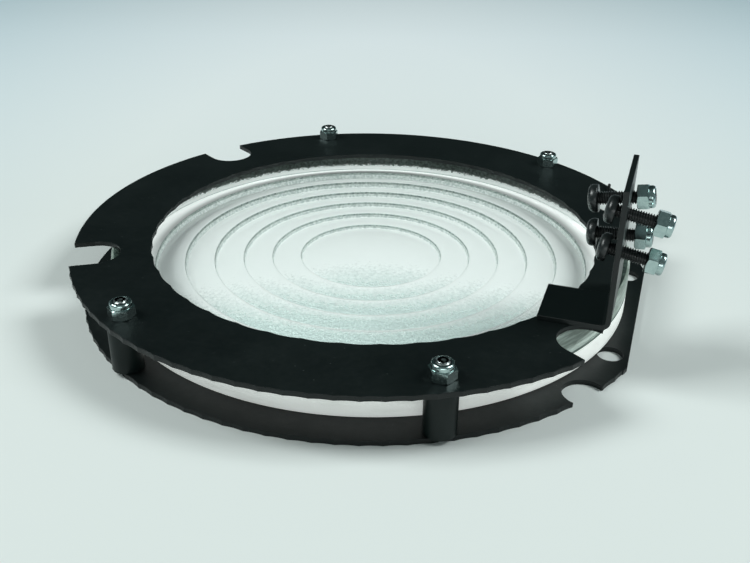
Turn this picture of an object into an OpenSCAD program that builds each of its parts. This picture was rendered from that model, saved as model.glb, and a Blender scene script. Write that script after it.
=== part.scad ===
// Stepped lantern lens held between two flat sheet rings, with an angle
// bracket on the upper ring.
// Z = 0 is the underside of the lower ring, the Z axis is the ring axis and
// +X points through the flat side of both rings. Millimetres.

/* [Rings] */
// Outer diameter of the upper ring
upper_d = 200; // [198:0.5:202]
// Outer diameter of the lower ring
lower_d = 196.8; // [194:0.4:199]
// Sheet thickness of both rings and of the bracket
sheet = 1.6; // [1.2:0.1:2]
// Clear height between the two rings
gap = 15.6; // [13:0.2:20]
// Diameter of the upper opening, over the cusps of its nibbled edge
upper_opening_d = 149.8; // [140:0.2:152]
// Distance of the upper opening's centre from the axis, along X
opening_dx = 1.55; // [0:0.05:2]
// Distance of the upper opening's centre from the axis, along Y
opening_dy = -1.8; // [-2:0.05:0]
// Diameter of the round opening in the lower ring
lower_opening_d = 154; // [140:1:164]
// Distance from the axis to the flat side of the upper ring
upper_flat = 84.5; // [84:0.1:86]
// Distance from the axis to the flat side of the lower ring
lower_flat = 92.5; // [92:0.1:94]

/* [Nibbled edges] */
// Number of bites around the upper opening
opening_bites = 44; // [36:1:60]
// Depth of each bite around the upper opening
opening_bite_depth = 0.45; // [0.2:0.05:0.6]
// Angle between the bites along the front of both rims, in degrees
rim_bite_pitch = 3.75; // [3:0.25:5]
// Depth of each bite along the front of both rims
rim_bite_depth = 0.32; // [0.1:0.02:0.5]
// How much wider the hand-cut front rim of the upper ring is than its rear rim, in radius
front_reach = 1; // [0.9:0.1:1.4]
// How far the centre of that front rim lies in front of the axis
front_shift = 1.7; // [1:0.1:2]

/* [Rim notches] */
// Angle of the notches from the X axis, on each side of it, in degrees
notch_angle = 32.3; // [31:0.1:33]
// Radius of the round notch ends in the upper ring
upper_notch_r = 8.3; // [7:0.1:9]
// Radius of the round notches in the lower ring
lower_notch_r = 6.5; // [5:0.1:7]
// Distance from the axis to the centre of the lower ring's notches
lower_notch_at = 96.8; // [96:0.1:98]

/* [Fixing holes] */
// Diameter of the two round holes beside the flat of the lower ring
ear_hole_d = 8; // [5:0.5:9]
// Distance of these holes from the axis, along X
ear_hole_x = 86.8; // [86:0.1:87]
// Distance between these two holes, along Y
ear_hole_spacing = 55.4; // [50:0.2:58]

/* [Lens] */
// Diameter of the lens
lens_d = 176; // [170:1:180]
// Radius of the first step, where the middle dome ends
first_step_r = 24.5; // [22:0.5:25]
// Distance from one step to the next
step_pitch = 9.95; // [9.5:0.05:10]
// Number of steps
steps = 6; // [4:1:6]
// Height of the middle dome above the flat face
dome_h = 7.9; // [7.2:0.1:9]
// Width of the upright rim that both rings clamp
rim_w = 3.9; // [3.6:0.1:4.4]
// Height of the mould seam above the flat face
seam_h = 7.4; // [6.5:0.1:8.5]

/* [Clamp hardware] */
// Distance from the axis to the four studs
stud_at = 95.3; // [95:0.1:95.5]
// Angle of the studs from the X axis, on each side of it and mirrored, in degrees
stud_angle = 60; // [55:1:65]
// Thread diameter of the studs and screws
thread_d = 4; // [3.8:0.1:4]
// Outer diameter of the spacer sleeves
sleeve_d = 9.5; // [9:0.1:10]
// Width across the flats of the nuts
nut_af = 7; // [6.8:0.1:7.2]
// Height of the nuts
nut_h = 5; // [4.8:0.1:5.2]

/* [Bracket] */
// Height of the upright plate above the upper ring
upright_h = 42.5; // [38:0.5:50]
// Width of the upright plate along Y
upright_w = 30; // [28:0.5:34]
// Y position of the front edge of the bracket
bracket_front = -44.5; // [-45:0.1:-44]
// Length of the foot along X, from the inside of the upright
foot_l = 19.2; // [15:0.2:24]
// Width of the foot along Y
foot_w = 20.5; // [16:0.5:24]
// Height of the lower row of holes above the upper ring
row_low = 21.1; // [19:0.1:22]
// Height of the upper row of holes above the upper ring
row_high = 32.7; // [32:0.1:35]
// Diameter of the four bracket holes
bracket_hole_d = 5; // [5:0.1:5.4]
// Length of the bracket screws under the head
screw_l = 16; // [15:0.5:18]

/* [Hidden] */
$fn = 96;

z_gap = sheet;                    // top of the lower ring
z_upper = sheet + gap;            // underside of the upper ring
z_top = z_upper + sheet;          // top of the upper ring
clear = 0.02;                     // clearance of threads and pressed parts
clinch_r = 2.9;                   // clinch head of a stud
plate_x = upper_flat + 0.2;       // inner face of the upright
mid_x = plate_x + sheet / 2;      // middle of the upright's thickness
stud_angles = [stud_angle, 180 - stud_angle, 180 + stud_angle, -stud_angle];

// Each upper notch: [angle, distance of its round end's centre from the axis].
upper_notches = [[-notch_angle, 95.5], [notch_angle, 93.6],
                 [180 - notch_angle, 93], [180 + notch_angle, 93]];

// Each bracket screw: [y, row height, offset in its hole, tilt, distance from
// the underside of its head to the middle of the plate, turn of its nut].
screws = [
    [-23, row_high, -0.2,   9.7, 8.6, 8],
    [-23, row_low,  -0.25,  3.9, 7.7, 22],
    [-36, row_high,  0.22, -9.7, 2.55, 14],
    [-36, row_low,   0.2, -10.2, 3.25, 2]];

module at_studs(angles = stud_angles)
    for (a = angles) rotate([0, 0, a]) translate([stud_at, 0, 0]) children();

// ---- nibbled outlines -------------------------------------------------

// Depth below the cusps at a fraction t of one bite
function bite(t, depth) = depth * (1 - pow(2 * t - 1, 2));

// Closed outline of an opening cut by n bites, cusps pointing inwards
function nibbled_hole(r, n, depth, phase, seg = 6) =
    [for (k = [0 : n - 1], j = [0 : seg - 1])
        let (a = phase + (k + j / seg) * 360 / n, q = r + bite(j / seg, depth))
        [q * cos(a), q * sin(a)]];

// Region outside a rim cut by n bites, cusps pointing outwards
function nibbled_rim(r, a0, pitch, n, depth, seg = 4) = concat(
    [for (k = [0 : n - 1], j = [0 : seg - 1])
        let (a = a0 + (k + j / seg) * pitch, q = r - bite(j / seg, depth))
        [q * cos(a), q * sin(a)]],
    [for (k = [n : -1 : 0])
        let (a = a0 + k * pitch, q = r + 4)
        [q * cos(a), q * sin(a)]]);

// Outline of a front rim cut by n bites about the centre at, closed inside the ring
function nibbled_lobe(r, a0, pitch, n, depth, at, seg = 4) = concat(
    [for (k = [0 : n - 1], j = [0 : seg - 1])
        let (a = a0 + (k + j / seg) * pitch, q = r - bite(j / seg, depth))
        [at[0] + q * cos(a), at[1] + q * sin(a)]],
    [for (k = [n : -1 : 0])
        let (a = a0 + k * pitch)
        [92 * cos(a), 92 * sin(a)]]);

// ---- rings ------------------------------------------------------------

module u_notch(at, r)
    union() {
        translate([at, 0, -1]) cylinder(r = r, h = sheet + 2);
        translate([at, -r, -1]) cube([20, 2 * r, sheet + 2]);
    }

module lower_ring()
    color([0.07, 0.09, 0.09])
    difference() {
        cylinder(d = lower_d, h = sheet, $fn = 180);
        // round opening under the lens
        translate([0, 0, -1]) cylinder(d = lower_opening_d, h = sheet + 2, $fn = 180);
        // flat side
        translate([lower_flat, -60, -1]) cube([20, 120, sheet + 2]);
        // nibbled front rim, from the left notch round to the flat side
        translate([0, 0, -1]) linear_extrude(height = sheet + 2)
            polygon(nibbled_rim(lower_d / 2 - 0.05, 212,
                                rim_bite_pitch, floor(131 / rim_bite_pitch), rim_bite_depth));
        // round rim notches
        for (a = [-notch_angle + 0.3, notch_angle - 0.3, 180 - notch_angle, 180 + notch_angle])
            rotate([0, 0, a]) translate([lower_notch_at, 0, -1])
                cylinder(r = lower_notch_r, h = sheet + 2);
        // two holes beside the flat side
        for (s = [-1, 1])
            translate([ear_hole_x, s * ear_hole_spacing / 2, -1])
                cylinder(d = ear_hole_d, h = sheet + 2, $fn = 48);
        // seats of the clinched studs
        at_studs() translate([0, 0, -1]) cylinder(r = clinch_r, h = sheet + 2, $fn = 48);
    }

module upper_ring()
    color([0.07, 0.09, 0.09])
    translate([0, 0, z_upper])
    difference() {
        union() {
            cylinder(d = upper_d, h = sheet, $fn = 180);
            // nibbled front rim, between the two front notches
            linear_extrude(height = sheet)
                polygon(nibbled_lobe(upper_d / 2 + front_reach, 212, rim_bite_pitch,
                                     floor(115 / rim_bite_pitch), rim_bite_depth,
                                     [front_shift * cos(60), -front_shift * sin(60)]));
        }
        // opening over the lens, cut a little off centre
        translate([opening_dx, opening_dy, -1]) linear_extrude(height = sheet + 2)
            polygon(nibbled_hole(upper_opening_d / 2, opening_bites, opening_bite_depth, 3.5));
        // flat side
        translate([upper_flat, -60, -1]) cube([20, 120, sheet + 2]);
        // U-shaped rim notches
        for (q = upper_notches) rotate([0, 0, q[0]]) u_notch(q[1], upper_notch_r);
        // stud holes
        at_studs() translate([0, 0, -1]) cylinder(d = thread_d + 0.5, h = sheet + 2, $fn = 48);
        // hole of the rim pin
        translate([74.5, 62, -1]) cylinder(r = 0.6 + clear, h = sheet + 2, $fn = 24);
    }

// ---- lens -------------------------------------------------------------

// Riser k stands at step_r(k): the valley inside it, the crest outside it
function step_r(k) = first_step_r + step_pitch * (k - 1);
function valley(k) = 5.65 + 0.11 * (k - 1);
function crest(k) = 6.95 + 0.33 * (k - 1);
rim_r = lens_d / 2;
rim_in = rim_r - rim_w;
// Radial width of zone k; the last zone ends at the upright rim
function zone_w(k) = (k < steps ? step_pitch : rim_in - step_r(steps));

module fresnel_lens()
    color([0.85, 0.9, 0.88])
    translate([0, 0, z_gap])
    rotate_extrude($fn = 180)
    polygon(concat(
        // flat face and wall, with the mould seam as a fine groove
        [[0, 0], [rim_r - 0.6, 0], [rim_r, 0.6], [rim_r, seam_h - 0.4],
         [rim_r - 0.35, seam_h], [rim_r, seam_h + 0.4], [rim_r, gap - 0.8]],
        // rounded upper edge of the wall
        [for (a = [15 : 15 : 90]) [rim_r - 0.8 + 0.8 * cos(a), gap - 0.8 + 0.8 * sin(a)]],
        // upright rim and its inner face
        [[rim_in + 1.4, gap], [rim_in + 0.8, gap - 0.6], [rim_in, valley(steps + 1)]],
        // stepped zones, each rising inwards in a convex curve to its crest
        [for (k = [steps : -1 : 1], p = [0.25 : 0.25 : 1.25])
            let (top = crest(k), low = valley(k + 1), u = 1 - p)
            p < 1.1
                ? [step_r(k) + 0.2 + u * (zone_w(k) - 0.35),
                   top - (top - low) * (0.8 * u + 0.2 * u * u)]
                : [step_r(k) - 0.15, valley(k)]],
        // middle dome
        [for (r = [first_step_r * 0.85 : -first_step_r * 0.17 : first_step_r * 0.1])
            [r, dome_h - (dome_h - valley(1)) * pow(r / first_step_r, 2)]],
        [[0, dome_h]]));

// ---- clamp hardware ---------------------------------------------------

module sleeve(a)
    color([0.1, 0.12, 0.12])
    rotate([0, 0, a]) translate([stud_at, 0, z_gap])
    difference() {
        cylinder(d = sleeve_d, h = gap, $fn = 64);
        translate([0, 0, -1]) cylinder(d = thread_d + 0.4, h = gap + 2, $fn = 48);
    }

module spacer_rear_right() sleeve(stud_angle);
module spacer_rear_left() sleeve(180 - stud_angle);
module spacer_front_left() sleeve(180 + stud_angle);
module spacer_front_right() sleeve(-stud_angle);

// Threaded studs, their flat heads clinched flush into the lower ring
module clamp_studs()
    color([0.55, 0.6, 0.6])
    at_studs() {
        cylinder(r = clinch_r - clear, h = sheet, $fn = 48);
        cylinder(d = thread_d, h = z_top + nut_h, $fn = 48);
        translate([0, 0, z_top + nut_h])
            cylinder(d1 = thread_d, d2 = thread_d - 1, h = 0.4, $fn = 48);
    }

// Domed lock nut on +Z, with a seat for its plastic ring under the lip
module lock_nut()
    difference() {
        union() {
            intersection() {
                cylinder(r = nut_af / 2 / cos(30), h = nut_h * 0.66, $fn = 6);
                rotate_extrude($fn = 64)
                    polygon([[0, 0], [nut_af / 2 - 0.1, 0], [nut_af / 2 + 0.6, 0.42],
                             [nut_af / 2 + 0.6, nut_h * 0.66 - 0.35],
                             [nut_af / 2 - 0.1, nut_h * 0.66], [0, nut_h * 0.66]]);
            }
            translate([0, 0, nut_h * 0.64]) rotate_extrude($fn = 64)
                polygon(concat([[0, 0], [nut_af / 2 - 0.25, 0], [nut_af / 2 - 0.25, nut_h * 0.2]],
                    [for (a = [15 : 15 : 90])
                        [nut_af / 2 - 1 + 0.75 * cos(a),
                         nut_h * 0.36 - 0.8 + 0.8 * sin(a)]],
                    [[0, nut_h * 0.36]]));
        }
        translate([0, 0, -1]) cylinder(r = thread_d / 2 + clear, h = nut_h, $fn = 48);
        translate([0, 0, nut_h * 0.66]) cylinder(r = 2.75, h = nut_h * 0.28, $fn = 48);
        translate([0, 0, nut_h * 0.8]) cylinder(r = 2.35, h = nut_h, $fn = 48);
        translate([0, 0, -0.01]) cylinder(r1 = thread_d / 2 + 0.35, r2 = thread_d / 2, h = 0.4, $fn = 48);
    }

// Plastic locking ring that sits under the lip of a nut
module lock_ring()
    translate([0, 0, nut_h * 0.66 + clear])
    difference() {
        cylinder(r = 2.75 - clear, h = nut_h * 0.28 - 2 * clear, $fn = 48);
        translate([0, 0, -1]) cylinder(r = thread_d / 2 + clear, h = nut_h, $fn = 48);
    }

nut_turns = [12, 40, 25, 3];

module clamp_nuts()
    color([0.78, 0.8, 0.8])
    for (i = [0 : 3])
        rotate([0, 0, stud_angles[i]]) translate([stud_at, 0, z_top])
            rotate([0, 0, nut_turns[i]]) lock_nut();

module clamp_nut_inserts()
    color([0.12, 0.14, 0.15])
    at_studs() translate([0, 0, z_top]) lock_ring();

// ---- bracket ----------------------------------------------------------

bend_r = 1.2;                     // inside radius of the bend

// Places a child, drawn with its axis on +X, in its bracket hole
module in_hole(s)
    translate([mid_x, s[0], z_top + s[1] + s[2]]) rotate([0, -s[3], 0])
        translate([-s[4], 0, 0]) children();

module bracket()
    color([0.07, 0.09, 0.09])
    difference() {
        union() {
            // foot and bend
            translate([0, bracket_front + foot_w, z_top]) rotate([90, 0, 0])
                linear_extrude(height = foot_w) {
                    translate([plate_x - foot_l, 0]) square([foot_l - bend_r, sheet]);
                    translate([plate_x, sheet + bend_r]) square([sheet, 6]);
                    intersection() {
                        translate([plate_x - bend_r, sheet + bend_r]) difference() {
                            circle(r = bend_r + sheet, $fn = 64);
                            circle(r = bend_r, $fn = 64);
                        }
                        translate([plate_x - bend_r, 0]) square([bend_r + sheet, bend_r + sheet]);
                    }
                }
            // upright plate
            translate([plate_x, bracket_front, z_top + sheet + bend_r])
                cube([sheet, upright_w, upright_h - sheet - bend_r]);
        }
        for (s = screws)
            translate([plate_x - 1, s[0], z_top + s[1]]) rotate([0, 90, 0])
                cylinder(d = bracket_hole_d, h = sheet + 2, $fn = 48);
    }

// Pan head screw along +X, its head on -X and its underside at X = 0
module pan_screw()
    rotate([0, 90, 0])
    difference() {
        union() {
            cylinder(d = thread_d, h = screw_l - 0.4, $fn = 48);
            translate([0, 0, screw_l - 0.4])
                cylinder(d1 = thread_d, d2 = thread_d - 0.9, h = 0.4, $fn = 48);
            rotate_extrude($fn = 64)
                polygon([[0, 0], [4, 0], [4.1, -0.3], [4.1, -1.3], [3.95, -1.9], [3.55, -2.4],
                         [2.9, -2.75], [2, -2.95], [0, -3.05]]);
        }
        // cross recess
        for (a = [0, 90]) rotate([0, 0, a + 20])
            translate([-2.1, -0.45, -3.5]) cube([4.2, 0.9, 2]);
        translate([0, 0, -3.5]) cylinder(r1 = 1.35, r2 = 0.8, h = 2.4, $fn = 32);
    }

module bracket_screws()
    color([0.06, 0.07, 0.07])
    for (s = screws) in_hole(s) pan_screw();

module bracket_nuts()
    color([0.78, 0.8, 0.8])
    for (s = screws) in_hole(s) translate([screw_l - 0.1 - nut_h, 0, 0])
        rotate([0, 90, 0]) rotate([0, 0, s[5]]) lock_nut();

module bracket_nut_inserts()
    color([0.12, 0.14, 0.15])
    for (s = screws) in_hole(s) translate([screw_l - 0.1 - nut_h, 0, 0])
        rotate([0, 90, 0]) lock_ring();

// ---- rim pin ----------------------------------------------------------

module rim_pin()
    color([0.06, 0.07, 0.07])
    translate([74.5, 62, z_upper]) {
        cylinder(r = 0.6, h = sheet + 2.5, $fn = 24);
        translate([0, 0, sheet + 2.5]) sphere(r = 0.6, $fn = 24);
    }

lower_ring();
upper_ring();
fresnel_lens();
spacer_front_right();
spacer_front_left();
spacer_rear_right();
spacer_rear_left();
clamp_studs();
clamp_nuts();
clamp_nut_inserts();
bracket();
bracket_screws();
bracket_nuts();
bracket_nut_inserts();
rim_pin();
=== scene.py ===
import math

import bmesh
import bpy
from mathutils import Matrix, Vector


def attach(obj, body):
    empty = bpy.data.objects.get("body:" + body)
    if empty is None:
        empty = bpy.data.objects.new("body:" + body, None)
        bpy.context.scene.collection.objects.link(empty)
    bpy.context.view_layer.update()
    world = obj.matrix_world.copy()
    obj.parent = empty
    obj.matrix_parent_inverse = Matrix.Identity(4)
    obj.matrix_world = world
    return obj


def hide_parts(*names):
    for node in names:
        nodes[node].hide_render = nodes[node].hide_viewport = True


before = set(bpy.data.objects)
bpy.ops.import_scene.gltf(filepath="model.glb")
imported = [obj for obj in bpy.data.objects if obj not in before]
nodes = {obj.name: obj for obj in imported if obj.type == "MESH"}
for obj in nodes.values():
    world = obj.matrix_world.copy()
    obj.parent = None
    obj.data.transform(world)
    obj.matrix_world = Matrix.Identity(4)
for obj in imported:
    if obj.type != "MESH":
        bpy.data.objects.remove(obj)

scene = bpy.context.scene
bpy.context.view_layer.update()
MM = 0.001

# ---------------------------------------------------------------- camera
# Placed by a fit of the rings, nuts and holes: 44.9 mm lens, 1.03 radii above the rings.


def make_camera():
    turn = Matrix.Rotation(math.radians(18.61), 3, "Z")
    pitch, yaw, roll = 0.4859, 0.0052, 0.0117
    fwd = Vector((math.sin(yaw) * math.cos(pitch), math.cos(yaw) * math.cos(pitch), -math.sin(pitch)))
    right = Vector((math.cos(yaw), -math.sin(yaw), 0))
    up = right.cross(fwd)
    r2 = right * math.cos(roll) + up * math.sin(roll)
    u2 = -right * math.sin(roll) + up * math.cos(roll)
    pos = turn @ Vector((0, -0.29667, 0.1353))
    pos.z += 0.0188
    fwd, r2, u2 = turn @ fwd, turn @ r2, turn @ u2
    cam = bpy.data.objects.new("camera", bpy.data.cameras.new("camera"))
    scene.collection.objects.link(cam)
    m = Matrix((r2, u2, -fwd)).transposed().to_4x4()
    m.translation = pos
    cam.matrix_world = m
    cam.data.sensor_width = 36
    cam.data.lens = 44.90
    cam.data.clip_start, cam.data.clip_end = 0.005, 50
    cam.data.dof.use_dof = False
    scene.camera = cam
    return fwd, r2


fwd, right = make_camera()
back_az = math.atan2(fwd.y, fwd.x)      # compass direction the camera looks along

# ---------------------------------------------------------------- materials


class Graph:
    """A material's node tree with short calls."""

    def __init__(self, name):
        self.mat = bpy.data.materials.new(name)
        self.mat.use_nodes = True
        self.nt = self.mat.node_tree
        self.nt.nodes.clear()
        self.out = self.add("ShaderNodeOutputMaterial")

    def add(self, kind, **props):
        n = self.nt.nodes.new(kind)
        for k, v in props.items():
            setattr(n, k, v)
        return n

    def link(self, a, b):
        self.nt.links.new(a, b)

    def put(self, socket, value):
        if hasattr(value, "links"):
            self.link(value, socket)
        else:
            socket.default_value = value

    def coord(self):
        return self.add("ShaderNodeTexCoord").outputs["Object"]

    def noise(self, scale, detail=2.0, rough=0.5, vec=None, kind="FBM"):
        n = self.add("ShaderNodeTexNoise")
        n.inputs["Scale"].default_value = scale
        n.inputs["Detail"].default_value = detail
        n.inputs["Roughness"].default_value = rough
        self.link(vec if vec is not None else self.coord(), n.inputs["Vector"])
        return n.outputs["Fac"]

    def voronoi(self, scale, vec=None, feature="F1", out="Distance", randomness=1.0):
        n = self.add("ShaderNodeTexVoronoi", feature=feature)
        n.inputs["Scale"].default_value = scale
        n.inputs["Randomness"].default_value = randomness
        self.link(vec if vec is not None else self.coord(), n.inputs["Vector"])
        return n.outputs[out]

    def math(self, op, a, b=0.0, c=None, clamp=False):
        n = self.add("ShaderNodeMath", operation=op)
        n.use_clamp = clamp
        self.put(n.inputs[0], a)
        self.put(n.inputs[1], b)
        if c is not None:
            self.put(n.inputs[2], c)
        return n.outputs[0]

    def ramp(self, fac, stops):
        n = self.add("ShaderNodeValToRGB")
        e = n.color_ramp.elements
        while len(e) > 1:
            e.remove(e[-1])
        e[0].position, e[0].color = stops[0][0], (*stops[0][1], 1)
        for p, c in stops[1:]:
            k = e.new(p)
            k.color = (*c, 1)
        self.link(fac, n.inputs[0])
        return n.outputs[0]

    def span(self, fac, lo, hi, to_lo=0.0, to_hi=1.0):
        n = self.add("ShaderNodeMapRange")
        n.inputs["From Min"].default_value = lo
        n.inputs["From Max"].default_value = hi
        n.inputs["To Min"].default_value = to_lo
        n.inputs["To Max"].default_value = to_hi
        self.link(fac, n.inputs["Value"])
        return n.outputs[0]

    def mix(self, fac, a, b):
        n = self.add("ShaderNodeMix", data_type="RGBA")
        self.put(n.inputs[0], fac)
        for s, v in ((n.inputs[6], a), (n.inputs[7], b)):
            if hasattr(v, "links"):
                self.link(v, s)
            else:
                s.default_value = (*v, 1)
        return n.outputs[2]

    def bump(self, height, distance, strength=1.0, normal=None):
        n = self.add("ShaderNodeBump")
        n.inputs["Strength"].default_value = strength
        n.inputs["Distance"].default_value = distance
        self.link(height, n.inputs["Height"])
        if normal is not None:
            self.link(normal, n.inputs["Normal"])
        return n.outputs[0]

    def shader(self, color, rough, metallic=0.0, normal=None, **consts):
        p = self.add("ShaderNodeBsdfPrincipled")
        if hasattr(color, "links"):
            self.link(color, p.inputs["Base Color"])
        else:
            p.inputs["Base Color"].default_value = (*color, 1)
        self.put(p.inputs["Roughness"], rough)
        p.inputs["Metallic"].default_value = metallic
        for k, v in consts.items():
            p.inputs[k].default_value = v
        if normal is not None:
            self.link(normal, p.inputs["Normal"])
        return p

    def finish(self, surface):
        self.link(surface, self.out.inputs["Surface"])
        return self.mat


def black_sheet(name="black_sheet", shine=0.0, spec=0.36):
    """Satin black paint on sheet steel: fine orange peel, faint cloudy wear and specks of dust."""
    g = Graph(name)
    cloud = g.noise(38, 3, 0.6)
    fine = g.noise(420, 4, 0.65)
    base = g.mix(g.span(cloud, 0.35, 0.7), (0.0018, 0.0040, 0.0040), (0.0030, 0.0062, 0.0060))
    base = g.mix(g.span(fine, 0.68, 0.80), base, (0.012, 0.016, 0.016))
    speck = g.voronoi(260)
    base = g.mix(g.span(speck, 0.05, 0.03), base, (0.035, 0.042, 0.040))
    rough = g.math("ADD", g.span(cloud, 0.3, 0.7, 0.36 - shine, 0.46 - shine), g.span(fine, 0.3, 0.7, 0.0, 0.08))
    peel = g.noise(950, 2, 0.5)
    n = g.bump(peel, 0.00003, 0.55)
    n = g.bump(g.noise(60, 2, 0.5), 0.0002, 0.25, n)
    p = g.shader(base, rough, 0.0, n, **{"Specular IOR Level": spec})
    return g.finish(p.outputs[0])


def sleeve_black():
    """Smooth satin black of the turned spacer sleeves, with faint turning marks round the sleeve."""
    g = Graph("sleeve_black")
    c = g.coord()
    sep = g.add("ShaderNodeSeparateXYZ")
    g.link(c, sep.inputs[0])
    wave = g.math("SINE", g.math("MULTIPLY", sep.outputs["Z"], 21000.0))
    cloud = g.noise(120, 3)
    base = g.mix(cloud, (0.0030, 0.0070, 0.0068), (0.0060, 0.0115, 0.0105))
    rough = g.span(cloud, 0.3, 0.7, 0.36, 0.48)
    n = g.bump(wave, 0.000006, 0.5)
    n = g.bump(g.noise(700, 2), 0.00002, 0.4, n)
    p = g.shader(base, rough, 0.0, n, **{"Specular IOR Level": 0.26})
    return g.finish(p.outputs[0])


def zinc():
    """Bright zinc plate with a faint cool haze and tiny pits."""
    g = Graph("zinc_plate")
    cloud = g.noise(700, 3, 0.6)
    base = g.mix(cloud, (0.30, 0.40, 0.40), (0.54, 0.66, 0.64))
    rough = g.span(g.noise(1600, 2), 0.3, 0.7, 0.13, 0.26)
    n = g.bump(g.noise(1100, 2), 0.00003, 0.35)
    p = g.shader(base, rough, 1.0, n)
    return g.finish(p.outputs[0])


def stud_steel():
    g = Graph("stud_steel")
    cloud = g.noise(900, 3, 0.6)
    base = g.mix(cloud, (0.30, 0.34, 0.34), (0.52, 0.55, 0.54))
    rough = g.span(cloud, 0.3, 0.7, 0.25, 0.42)
    p = g.shader(base, rough, 1.0, g.bump(g.noise(1500, 2), 0.00002, 0.4))
    return g.finish(p.outputs[0])


def nylon():
    g = Graph("dark_nylon")
    cloud = g.noise(900, 3, 0.6)
    base = g.mix(cloud, (0.010, 0.014, 0.017), (0.022, 0.030, 0.034))
    p = g.shader(base, g.span(cloud, 0.3, 0.7, 0.3, 0.48), 0.0, g.bump(g.noise(1300, 2), 0.00003, 0.5))
    return g.finish(p.outputs[0])


def screw_black():
    """Oiled black oxide of the screws and the pin."""
    g = Graph("black_oxide")
    cloud = g.noise(600, 3, 0.6)
    base = g.mix(cloud, (0.0055, 0.0075, 0.0078), (0.014, 0.018, 0.018))
    worn = g.noise(1700, 3, 0.7)
    base = g.mix(g.span(worn, 0.66, 0.78), base, (0.05, 0.055, 0.055))
    rough = g.span(cloud, 0.3, 0.7, 0.24, 0.38)
    p = g.shader(base, rough, 0.0, g.bump(g.noise(1500, 2), 0.00002, 0.4), **{"Specular IOR Level": 0.6})
    return g.finish(p.outputs[0])


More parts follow.
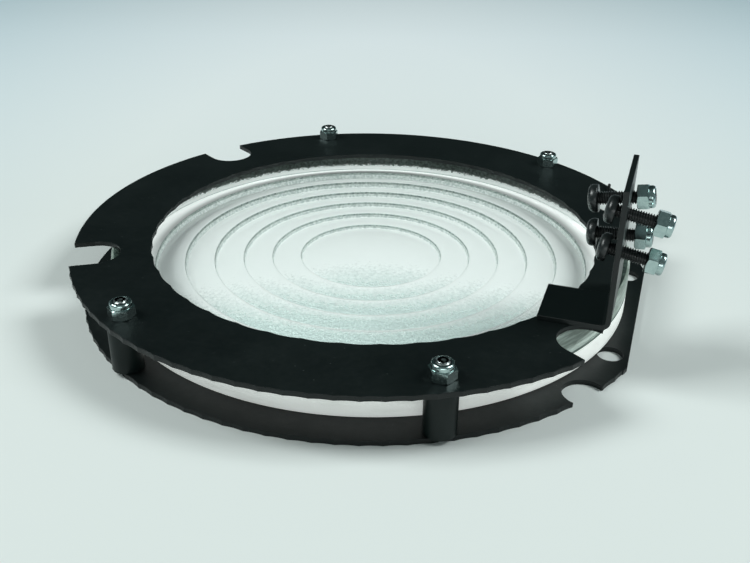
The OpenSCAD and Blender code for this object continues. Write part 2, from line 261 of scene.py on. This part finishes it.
def lens_glass(name, kind):
    """Pressed glass: "top" is the stepped side, "stipple" the moulded flat side, the rest are parts of the rim."""
    g = Graph(name)
    if kind == "stipple":
        cell = g.voronoi(1300, feature="SMOOTH_F1")
        n = g.bump(cell, 0.00016, 1.0)
        rough = g.span(g.noise(300, 2), 0.3, 0.7, 0.22, 0.30)
        tint = g.mix(g.noise(30, 2), (0.93, 0.975, 0.955), (0.955, 0.99, 0.975))
        weight = 0.3
    elif kind == "wall":
        n = g.bump(g.noise(900, 3, 0.6), 0.00012, 0.8)
        rough = g.span(g.noise(500, 2), 0.3, 0.7, 0.42, 0.55)
        flat_way = g.add("ShaderNodeVectorMath", operation="MULTIPLY")
        flat_way.inputs[1].default_value = (0.10, 0.10, 1.0)
        g.link(g.coord(), flat_way.inputs[0])
        streak = g.noise(620, 3, 0.6, flat_way.outputs[0])
        tint = g.mix(g.span(streak, 0.36, 0.47), (0.80, 0.83, 0.785), (0.97, 0.985, 0.955))
        weight = 0.06
    elif kind == "upper":
        # faint streaks round the rim above the seam; the rim there is tinted much darker than the wall below, painted
        # shade standing in for the ring's shadow and the dark inside seen through the glass
        c = g.coord()
        squash = g.add("ShaderNodeVectorMath", operation="MULTIPLY")
        squash.inputs[1].default_value = (0.12, 0.12, 1.0)
        g.link(c, squash.inputs[0])
        streak = g.noise(700, 3, 0.6, squash.outputs[0])
        n = g.bump(g.noise(700, 3, 0.6), 0.00012, 0.6)
        rough = g.span(streak, 0.3, 0.7, 0.30, 0.45)
        tint = g.mix(g.span(streak, 0.42, 0.58), (0.30, 0.37, 0.32), (0.66, 0.76, 0.69))
        weight = 0.45
    elif kind == "seam":
        # painted shade: the seam groove is dark grey glass, standing in for the shade inside the groove
        n = g.bump(g.noise(900, 3, 0.6), 0.00008, 0.6)
        rough = 0.5
        tint = g.mix(g.noise(300, 3), (0.08, 0.12, 0.10), (0.22, 0.28, 0.25))
        weight = 0.2
    elif kind == "inner":
        n = g.bump(g.noise(800, 3, 0.6), 0.0001, 0.8)
        rough = g.span(g.noise(900, 2), 0.3, 0.7, 0.3, 0.45)
        # painted shadow: the inner face is dark greenish glass above about 10 mm, with a ragged edge, standing in for
        # the shadow under the upper ring's overhang; below it is pale milky glass
        grain = g.noise(850, 3, 0.65)
        tint = g.mix(g.span(grain, 0.40, 0.62), (0.010, 0.018, 0.015), (0.07, 0.10, 0.085))
        high = g.add("ShaderNodeSeparateXYZ")
        g.link(g.coord(), high.inputs[0])
        edge = g.math("ADD", high.outputs["Z"], g.math("MULTIPLY", g.math("SUBTRACT", grain, 0.5), 0.0035))
        tint = g.mix(g.span(edge, 0.0094, 0.0104), (0.93, 0.97, 0.955), tint)
        weight = 0.08
    elif kind == "foot":
        # painted shade: the valley fillets at the foot of each riser are mid-grey glass, standing in for the shade in
        # the valleys
        n = g.bump(g.noise(900, 3, 0.6), 0.0001, 0.8)
        rough = g.span(g.noise(500, 2), 0.3, 0.7, 0.42, 0.55)
        tint = g.mix(g.span(g.noise(1000, 3, 0.6), 0.40, 0.60), (0.56, 0.62, 0.60), (0.86, 0.90, 0.88))
        weight = 0.1
    elif kind == "riser":
        # painted shade: the steep riser faces are dark grey glass, standing in for the shade on the steps
        n = g.bump(g.noise(900, 3, 0.6), 0.0001, 0.8)
        rough = g.span(g.noise(900, 2), 0.3, 0.7, 0.25, 0.4)
        tint = g.mix(g.span(g.noise(1100, 3, 0.65), 0.38, 0.62), (0.16, 0.21, 0.195), (0.46, 0.53, 0.50))
        weight = 0.3
    else:
        n = g.bump(g.noise(230, 2, 0.5), 0.00008, 0.35)
        rough = g.span(g.noise(160, 2), 0.3, 0.7, 0.03, 0.06)
        tint = g.mix(g.noise(30, 2), (0.95, 0.975, 0.96), (0.965, 0.985, 0.97))
        weight = 0.3
    p = g.shader(tint, rough, 0.0, n, **{"Transmission Weight": weight, "IOR": 1.5})
    if kind == "wall":
        # painted glow: the lower rim wall gets an even emission that stands in for light the lamps don't bring to it
        # under the ring
        p.inputs["Emission Color"].default_value = (0.95, 0.99, 0.955, 1)
        p.inputs["Emission Strength"].default_value = 0.30
    if kind in ("top", "inner"):
        # painted glow: emission in the glass from 74.5 mm radius outwards stands in for light piped through the pressed
        # glass under the ring, where no lamp reaches
        place = g.add("ShaderNodeSeparateXYZ")
        g.link(g.coord(), place.inputs[0])
        out = g.math("SQRT", g.math("ADD", g.math("POWER", place.outputs["X"], 2.0), g.math("POWER", place.outputs["Y"], 2.0)))
        painted_glow = g.mix(g.span(out, 0.0745, 0.0785), (0, 0, 0), (0.88, 0.96, 0.93))
        if kind == "inner":
            painted_glow = g.mix(g.span(edge, 0.0094, 0.0104), painted_glow, (0, 0, 0))
        g.link(painted_glow, p.inputs["Emission Color"])
        p.inputs["Emission Strength"].default_value = 0.36 if kind == "inner" else 0.62
    if kind == "top":
        # seen steeply the glass is clear down to the stippled side, seen flatly it is milky; the teal-grey tint of the
        # steep view is painted shade, standing in for the dark ring and room seen through the glass
        deep = g.shader((0.65, 0.80, 0.775), 0.05, 0.0, n, **{"Transmission Weight": 0.92, "IOR": 1.5})
        face = g.add("ShaderNodeLayerWeight")
        face.inputs["Blend"].default_value = 0.5
        grain = g.math("MULTIPLY", g.math("SUBTRACT", g.noise(900, 3, 0.7), 0.5), 0.16)
        fac = g.span(g.math("ADD", face.outputs["Facing"], grain), 0.37, 0.49)
        both = g.add("ShaderNodeMixShader")
        g.link(fac, both.inputs[0])
        g.link(deep.outputs[0], both.inputs[1])
        g.link(p.outputs[0], both.inputs[2])
        p = both
    clear = g.add("ShaderNodeBsdfTransparent")
    clear.inputs[0].default_value = (0.98, 0.99, 0.985, 1)
    path = g.add("ShaderNodeLightPath")
    m1, m2 = g.add("ShaderNodeMixShader"), g.add("ShaderNodeMixShader")
    g.link(path.outputs["Is Diffuse Ray"], m1.inputs[0])
    g.link(p.outputs[0], m1.inputs[1])
    g.link(clear.outputs[0], m1.inputs[2])
    g.link(path.outputs["Is Shadow Ray"], m2.inputs[0])
    g.link(m1.outputs[0], m2.inputs[1])
    g.link(clear.outputs[0], m2.inputs[2])
    return g.finish(m2.outputs[0])


MAT = {
    "sheet": black_sheet(), "plate": black_sheet("black_bracket", 0.10, 0.45), "sleeve": sleeve_black(), "zinc": zinc(), "stud": stud_steel(),
    "nylon": nylon(), "screw": screw_black(),
    "glass": lens_glass("pressed_glass", "top"), "stipple": lens_glass("stippled_glass", "stipple"),
    "wall": lens_glass("rim_wall_glass", "wall"), "upper": lens_glass("rim_upper_glass", "upper"),
    "seam": lens_glass("rim_seam_glass", "seam"), "inner": lens_glass("rim_inner_glass", "inner"),
    "riser": lens_glass("riser_glass", "riser"), "foot": lens_glass("riser_foot_glass", "foot"),
}

# ---------------------------------------------------------------- carried-over CAD nodes


def dress(node, mat, bevel=None, angle=30):
    o = nodes[node]
    o.data.materials.clear()
    o.data.materials.append(mat)
    if bevel:
        w = o.modifiers.new("weld", "WELD")
        w.merge_threshold = 1e-6
        b = o.modifiers.new("edge", "BEVEL")
        b.width = bevel
        b.segments = 2
        b.limit_method = "ANGLE"
        b.angle_limit = math.radians(angle)
        b.use_clamp_overlap = True
        b.harden_normals = False
    return o


dress("lower_ring", MAT["sheet"], 0.00015, 60)
dress("upper_ring", MAT["sheet"], 0.00015, 60)
dress("bracket", MAT["plate"], 0.00018, 60)
for s in ("spacer_front_right", "spacer_front_left", "spacer_rear_right", "spacer_rear_left"):
    dress(s, MAT["sleeve"], 0.0001, 60)
dress("clamp_nuts", MAT["zinc"])
dress("bracket_nuts", MAT["zinc"])
dress("clamp_nut_inserts", MAT["nylon"])
dress("bracket_nut_inserts", MAT["nylon"])
dress("rim_pin", MAT["screw"])

# ---------------------------------------------------------------- new pieces


def add_object(name, bm, mats, smooth_angle=None):
    me = bpy.data.meshes.new(name)
    bm.to_mesh(me)
    bm.free()
    for m in mats:
        me.materials.append(m)
    if smooth_angle is not None:
        me.shade_smooth()
        me.set_sharp_from_angle(angle=math.radians(smooth_angle))
    o = bpy.data.objects.new(name, me)
    scene.collection.objects.link(o)
    return o


def lathe(bm, profile, segs, closed_ends=True):
    """Revolves (r, z) pairs, in metres, about Z. Pairs at r = 0 become a pole."""
    rings = []
    for r, z in profile:
        if r < 1e-9:
            rings.append([bm.verts.new((0, 0, z))])
        else:
            rings.append([bm.verts.new((r * math.cos(2 * math.pi * i / segs), r * math.sin(2 * math.pi * i / segs), z))
                          for i in range(segs)])
    out = []
    for k in range(len(rings) - 1):
        a, b = rings[k], rings[k + 1]
        faces = []
        for i in range(segs):
            j = (i + 1) % segs
            if len(a) == 1 and len(b) == 1:
                continue
            if len(a) == 1:
                faces.append(bm.faces.new((a[0], b[j], b[i])))
            elif len(b) == 1:
                faces.append(bm.faces.new((a[i], a[j], b[0])))
            else:
                faces.append(bm.faces.new((a[i], a[j], b[j], b[i])))
        out.append(faces)
    return rings, out


# The lens: same steps as the solid, with fine fillets, a stippled flat side and a seam round the rim.
FIRST, PITCH, STEPS, BASE, TALL, RIM_IN = 24.5, 9.95, 6, 1.6, 15.6, 84.1


def valley(k):
    return 5.65 + 0.11 * (k - 1)


def crest(k):
    return 6.95 + 0.33 * (k - 1)


def lens_profile():
    """(r, z) in mm from the middle of the flat side round to the top of the dome, and one material index per band."""
    p, m = [(0.0, 0.0)], []

    def go(points, index):
        for q in points:
            p.append(q)
            m.append(index)

    go([(r, 0.0) for r in (8, 16, 24, 32, 40, 48, 56, 64, 72, 80, 85, 87.3)], 1)
    go([(87.3 + 0.7 * math.sin(math.radians(a)), 0.7 - 0.7 * math.cos(math.radians(a))) for a in (22, 45, 68, 90)], 2)
    go([(88.0, z) for z in (2, 3.5, 5, 6.3, 6.95)], 2)
    go([(87.9, 7.12), (87.68, 7.3), (87.65, 7.45), (87.75, 7.6), (87.96, 7.75)], 4)
    go([(88.0, z) for z in (8.0, 9.2, 10.5, 12.0, 13.5, 14.8)], 3)
    go([(87.2 + 0.8 * math.cos(math.radians(a)), 14.8 + 0.8 * math.sin(math.radians(a))) for a in (18, 36, 54, 72, 90)], 3)
    go([(86.4, 15.6), (85.6, 15.6), (85.3, 15.52), (85.05, 15.3), (84.9, 15.0)], 5)
    go([(84.9 - 0.7 * t, 15.0 - 4.9 * t) for t in (0.25, 0.5, 0.75, 1.0)], 5)

    def riser(rk, top, low):
        # rounded crest, steep face and rounded valley, going inwards
        q = []
        for a in (0, 30, 60, 90):
            q.append((rk + 0.28 - 0.28 * math.sin(math.radians(a)), top - 0.28 + 0.28 * math.cos(math.radians(a))))
        h = top - low
        for t in (0.3, 0.55, 0.8):
            q.append((rk - 0.02 - 0.1 * t, top - 0.28 - t * (h - 0.5)))
        for a in (20, 50, 90):
            q.append((rk - 0.12 - 0.22 * (1 - math.cos(math.radians(a))), low + 0.22 * (1 - math.sin(math.radians(a)))))
        return q

    low = valley(STEPS + 1)
    go([(84.16, 9.2), (84.13, 8.2), (84.1, 7.2), (84.05, low + 0.35)], 5)
    go([(83.9, low + 0.1), (83.65, low + 0.02)], 0)
    for k in range(STEPS, 0, -1):
        rk = FIRST + PITCH * (k - 1)
        rn = FIRST + PITCH * k if k < STEPS else RIM_IN
        top, low = crest(k), valley(k + 1)
        go([(rk + 0.28 + u / 10 * (rn - rk - 0.7), top - (top - low) * (0.3 * u / 10 + 0.7 * u * u / 100)) for u in range(9, 0, -1)], 0)
        q = riser(rk, top, valley(k))
        go(q[:2], 0)
        go(q[2:5], 6)
        go(q[5:], 7)
    for i in range(13, 0, -1):
        r = FIRST * 0.975 * i / 13.5
        go([(r, 7.9 - (7.9 - valley(1)) * (r / FIRST) ** 2)], 0)
    go([(0.0, 7.9)], 0)
    return p, m


def make_lens():
    bm = bmesh.new()
    prof, index = lens_profile()
    _, bands = lathe(bm, [(r * MM, (z + BASE) * MM) for r, z in prof], 288)
    for k, faces in enumerate(bands):
        for f in faces:
            f.material_index = index[k]
    bmesh.ops.recalc_face_normals(bm, faces=bm.faces)
    o = add_object("pressed_lens", bm, [MAT[k] for k in ("glass", "stipple", "wall", "upper", "seam", "inner", "riser", "foot")], 40)
    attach(o, "root")
    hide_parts("fresnel_lens")
    return o


make_lens()

# Real M4 thread: 0.7 mm pitch, 60 degree flanks.
THREAD_P, THREAD_R, THREAD_ROOT = 0.7, 2.0, 1.57


def thread_depth(t):
    """Radius at a fraction t of one pitch."""
    t = t % 1.0
    if t < 0.12:
        return THREAD_R
    if t < 0.42:
        return THREAD_R - (THREAD_R - THREAD_ROOT) * (t - 0.12) / 0.30
    if t < 0.70:
        return THREAD_ROOT
    return THREAD_ROOT + (THREAD_R - THREAD_ROOT) * (t - 0.70) / 0.30


def threaded_rod(bm, z0, z1, to_world, segs=36, tip=0.5):
    """Rolled thread along local Z from z0 to z1 in mm, with a chamfered tip at z1."""
    marks = (0.0, 0.12, 0.27, 0.42, 0.56, 0.70, 0.85)
    turns = int((z1 - z0) / THREAD_P) + 3
    rows = []
    for k in range(turns):
        for t in marks:
            row = []
            for i in range(segs):
                z = z0 - THREAD_P + (k + t + i / segs) * THREAD_P
                r = thread_depth(t)
                if z > z1 - tip:
                    r = min(r, THREAD_R - 0.62 * (z - (z1 - tip)) / tip * 0.7 - 0.02)
                zz = min(max(z, z0), z1)
                a = 2 * math.pi * i / segs
                row.append(bm.verts.new(to_world @ Vector((r * math.cos(a) * MM, r * math.sin(a) * MM, zz * MM))))
            rows.append(row)
    for j in range(len(rows) - 1):
        for i in range(segs - 1):
            bm.faces.new((rows[j][i], rows[j][i + 1], rows[j + 1][i + 1], rows[j + 1][i]))
    # the seam joins each row's end to the start of the row one pitch on
    n = len(marks)
    for j in range(len(rows) - n - 1):
        bm.faces.new((rows[j][segs - 1], rows[j + n][0], rows[j + n + 1][0], rows[j + 1][segs - 1]))
    r_end = THREAD_R - 0.62 * 0.7 - 0.02
    for z, flip in ((z1, False), (z0, True)):
        c = bm.verts.new(to_world @ Vector((0, 0, z * MM)))
        rim = [bm.verts.new(to_world @ Vector((r_end * math.cos(2 * math.pi * i / segs) * MM,
                                              r_end * math.sin(2 * math.pi * i / segs) * MM, z * MM))) for i in range(segs)]
        for i in range(segs):
            bm.faces.new((c, rim[i], rim[(i + 1) % segs]))


def frame_of(pos, tilt_deg, slide):
    """Local +Z runs along the screw towards its tip, local origin at the underside of its head."""
    m = Matrix.Translation(Vector(pos) * MM) @ Matrix.Rotation(math.radians(-tilt_deg), 4, "Y")
    m = m @ Matrix.Translation(Vector((-slide * MM, 0, 0))) @ Matrix.Rotation(math.radians(90), 4, "Y")
    return m


Z_TOP, PLATE_MID = 18.8, 85.5
SCREWS = ((-23, 32.7, -0.2, 9.7, 8.6), (-23, 21.1, -0.25, 3.9, 7.7), (-36, 32.7, 0.22, -9.7, 2.55), (-36, 21.1, 0.2, -10.2, 3.25))


def make_screws():
    src = nodes["bracket_screws"].data
    bm = bmesh.new()
    bm.from_mesh(src)
    bmesh.ops.remove_doubles(bm, verts=bm.verts, dist=1e-6)
    frames = [frame_of((PLATE_MID, y, Z_TOP + row + dz), tilt, slide) for y, row, dz, tilt, slide in SCREWS]
    inv = [m.inverted() for m in frames]
    gone = []
    for v in bm.verts:
        best = min((m @ v.co for m in inv), key=lambda q: math.hypot(q.x, q.y))
        if best.z > 2e-5:
            gone.append(v)
    bmesh.ops.delete(bm, geom=gone, context="VERTS")
    for m in frames:
        threaded_rod(bm, -0.15, 16.0, m)
    bmesh.ops.remove_doubles(bm, verts=bm.verts, dist=2e-7)
    bmesh.ops.dissolve_degenerate(bm, dist=1e-7, edges=bm.edges)
    bmesh.ops.recalc_face_normals(bm, faces=bm.faces)
    o = add_object("threaded_screws", bm, [MAT["screw"]], 32)
    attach(o, "root")
    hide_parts("bracket_screws")


def make_studs():
    bm = bmesh.new()
    for a in (60, 120, 240, 300):
        m = Matrix.Rotation(math.radians(a), 4, "Z") @ Matrix.Translation(Vector((95.3 * MM, 0, 0)))
        start = len(bm.verts)
        lathe(bm, [(0, 0), (2.7 * MM, 0), (2.88 * MM, 0.15 * MM), (2.88 * MM, 1.58 * MM), (0, 1.59 * MM)], 48)
        bm.verts.ensure_lookup_table()
        for v in bm.verts[start:]:
            v.co = m @ v.co
        threaded_rod(bm, 1.2, 24.2, m, 32)
    bmesh.ops.remove_doubles(bm, verts=bm.verts, dist=2e-7)
    bmesh.ops.dissolve_degenerate(bm, dist=1e-7, edges=bm.edges)
    bmesh.ops.recalc_face_normals(bm, faces=bm.faces)
    o = add_object("threaded_studs", bm, [MAT["stud"]], 32)
    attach(o, "root")
    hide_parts("clamp_studs")


make_screws()
make_studs()

# ---------------------------------------------------------------- floor and light


def make_floor():
    g = Graph("pale_floor")
    c = g.coord()
    side, deep = g.add("ShaderNodeVectorMath", operation="DOT_PRODUCT"), g.add("ShaderNodeVectorMath", operation="DOT_PRODUCT")
    side.inputs[1].default_value = (math.sin(back_az), -math.cos(back_az), 0)
    deep.inputs[1].default_value = (math.cos(back_az), math.sin(back_az), 0)
    g.link(c, side.inputs[0])
    g.link(c, deep.inputs[0])
    # painted light: the floor tone grows paler from 5 cm to 36 cm behind the object and darker and bluer out to the
    # sides and far corners, standing in for how the lamps' light falls across the table
    long = g.math("MULTIPLY", deep.outputs["Value"], 0.35)
    far = g.math("SQRT", g.math("ADD", g.math("POWER", side.outputs["Value"], 2.0), g.math("MULTIPLY", long, long)))
    big = g.noise(1.3, 2, 0.5, c)
    near = g.mix(big, (0.735, 0.765, 0.75), (0.75, 0.775, 0.76))
    base = g.mix(g.span(deep.outputs["Value"], 0.05, 0.36), near, (0.86, 0.90, 0.925))
    base = g.mix(g.span(far, 0.12, 0.42), base, (0.47, 0.60, 0.66))
    p = g.shader(base, 0.75, 0.0, None, **{"Specular IOR Level": 0.2})
    mat = g.finish(p.outputs[0])
    bm = bmesh.new()
    s = 5.0
    vs = [bm.verts.new((x * s, y * s, 0)) for x, y in ((-1, -1), (1, -1), (1, 1), (-1, 1))]
    bm.faces.new(vs)
    o = add_object("floor", bm, [mat])
    return o


make_floor()


def softbox(name, az_deg, el_deg, dist, size, power, colour=(1, 1, 1)):
    """az is measured from the way the camera looks, positive to the right."""
    d = bpy.data.lights.new(name, "AREA")
    d.shape = "RECTANGLE"
    d.size, d.size_y = size
    d.energy = power
    d.color = colour
    o = bpy.data.objects.new(name, d)
    scene.collection.objects.link(o)
    a = back_az - math.radians(az_deg)
    e = math.radians(el_deg)
    o.location = Vector((math.cos(a) * math.cos(e), math.sin(a) * math.cos(e), math.sin(e))) * dist
    o.rotation_mode = "QUATERNION"
    o.rotation_quaternion = (-o.location).to_track_quat("-Z", "Y")
    return o


softbox("left_box", -95, 47, 1.3, (0.55, 0.55), 10.8, (0.93, 1.0, 0.985))
softbox("right_box", 95, 47, 1.3, (0.55, 0.55), 10.5, (0.93, 1.0, 0.99))
softbox("front", 180, 12, 1.5, (1.0, 0.35), 3.2, (0.94, 1.0, 0.985))

# A dark room behind the object and a paler one behind the camera.
world = bpy.data.worlds.new("studio")
scene.world = world
world.use_nodes = True
wt = world.node_tree
wt.nodes.clear()
wo = wt.nodes.new("ShaderNodeOutputWorld")
bg = wt.nodes.new("ShaderNodeBackground")
way = wt.nodes.new("ShaderNodeTexCoord")
dot = wt.nodes.new("ShaderNodeVectorMath")
dot.operation = "DOT_PRODUCT"
flat = Vector((fwd.x, fwd.y, 0)).normalized()
dot.inputs[1].default_value = (-flat.x, -flat.y, 0.35)
span = wt.nodes.new("ShaderNodeMapRange")
span.interpolation_type = "SMOOTHSTEP"
span.inputs["From Min"].default_value = -0.25
span.inputs["From Max"].default_value = 0.75
tone = wt.nodes.new("ShaderNodeMix")
tone.data_type = "RGBA"
tone.inputs[6].default_value = (0.030, 0.047, 0.046, 1)
tone.inputs[7].default_value = (0.13, 0.17, 0.17, 1)
wt.links.new(way.outputs["Generated"], dot.inputs[0])
wt.links.new(dot.outputs["Value"], span.inputs["Value"])
wt.links.new(span.outputs[0], tone.inputs[0])
wt.links.new(tone.outputs[2], bg.inputs[0])
bg.inputs[1].default_value = 1.0
wt.links.new(bg.outputs[0], wo.inputs[0])

scene.view_settings.view_transform = "Standard"
